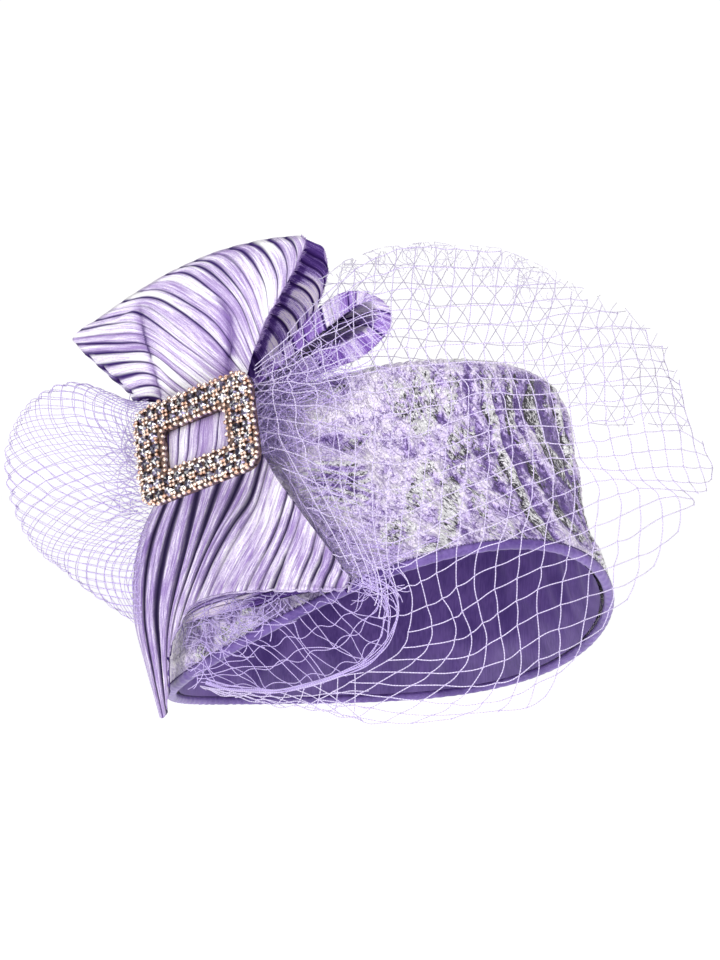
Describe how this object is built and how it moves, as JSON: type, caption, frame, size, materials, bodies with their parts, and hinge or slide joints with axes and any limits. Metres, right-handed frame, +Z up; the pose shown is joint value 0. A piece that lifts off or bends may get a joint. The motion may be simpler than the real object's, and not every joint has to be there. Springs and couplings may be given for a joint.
{
  "type": "pillbox hat",
  "caption": "Tilted oval pillbox hat in crinkled lilac brocade with a pleated satin bow, a stone-set slide buckle and a birdcage net veil, held in its worn form.",
  "frame": {"origin": "centre of the head opening, at mount head_seat", "axes": "+Z up as worn, -Y the wearer's front, -X the wearer's right where the bow sits; the crown leans back on the head"},
  "size_m": [0.2523, 0.2488, 0.1891],
  "materials": {
    "crown_brocade": "crinkled lilac brocade with silver metallic patches",
    "lining_satin": "plain purple satin",
    "binding_satin": "purple satin bias binding with small stitches",
    "pleated_satin": "irregularly pleated glossy lilac satin",
    "veil_net": "lilac diamond hat net of single threads",
    "stone_setting": "rose gold prongs round rows of clear cut stones"
  },
  "bodies": {
    "root": {"crown": "crown_brocade", "lining": "lining_satin", "rim_binding": "binding_satin", "bow_fan": "pleated_satin", "bow_back_loop": "pleated_satin", "bow_tail": "pleated_satin", "bow_tail_under": "pleated_satin", "bow_knot": "pleated_satin", "buckle": "stone_setting", "veil_cage": "veil_net", "veil_side_puff": "veil_net"}
  },
  "joints": []
}
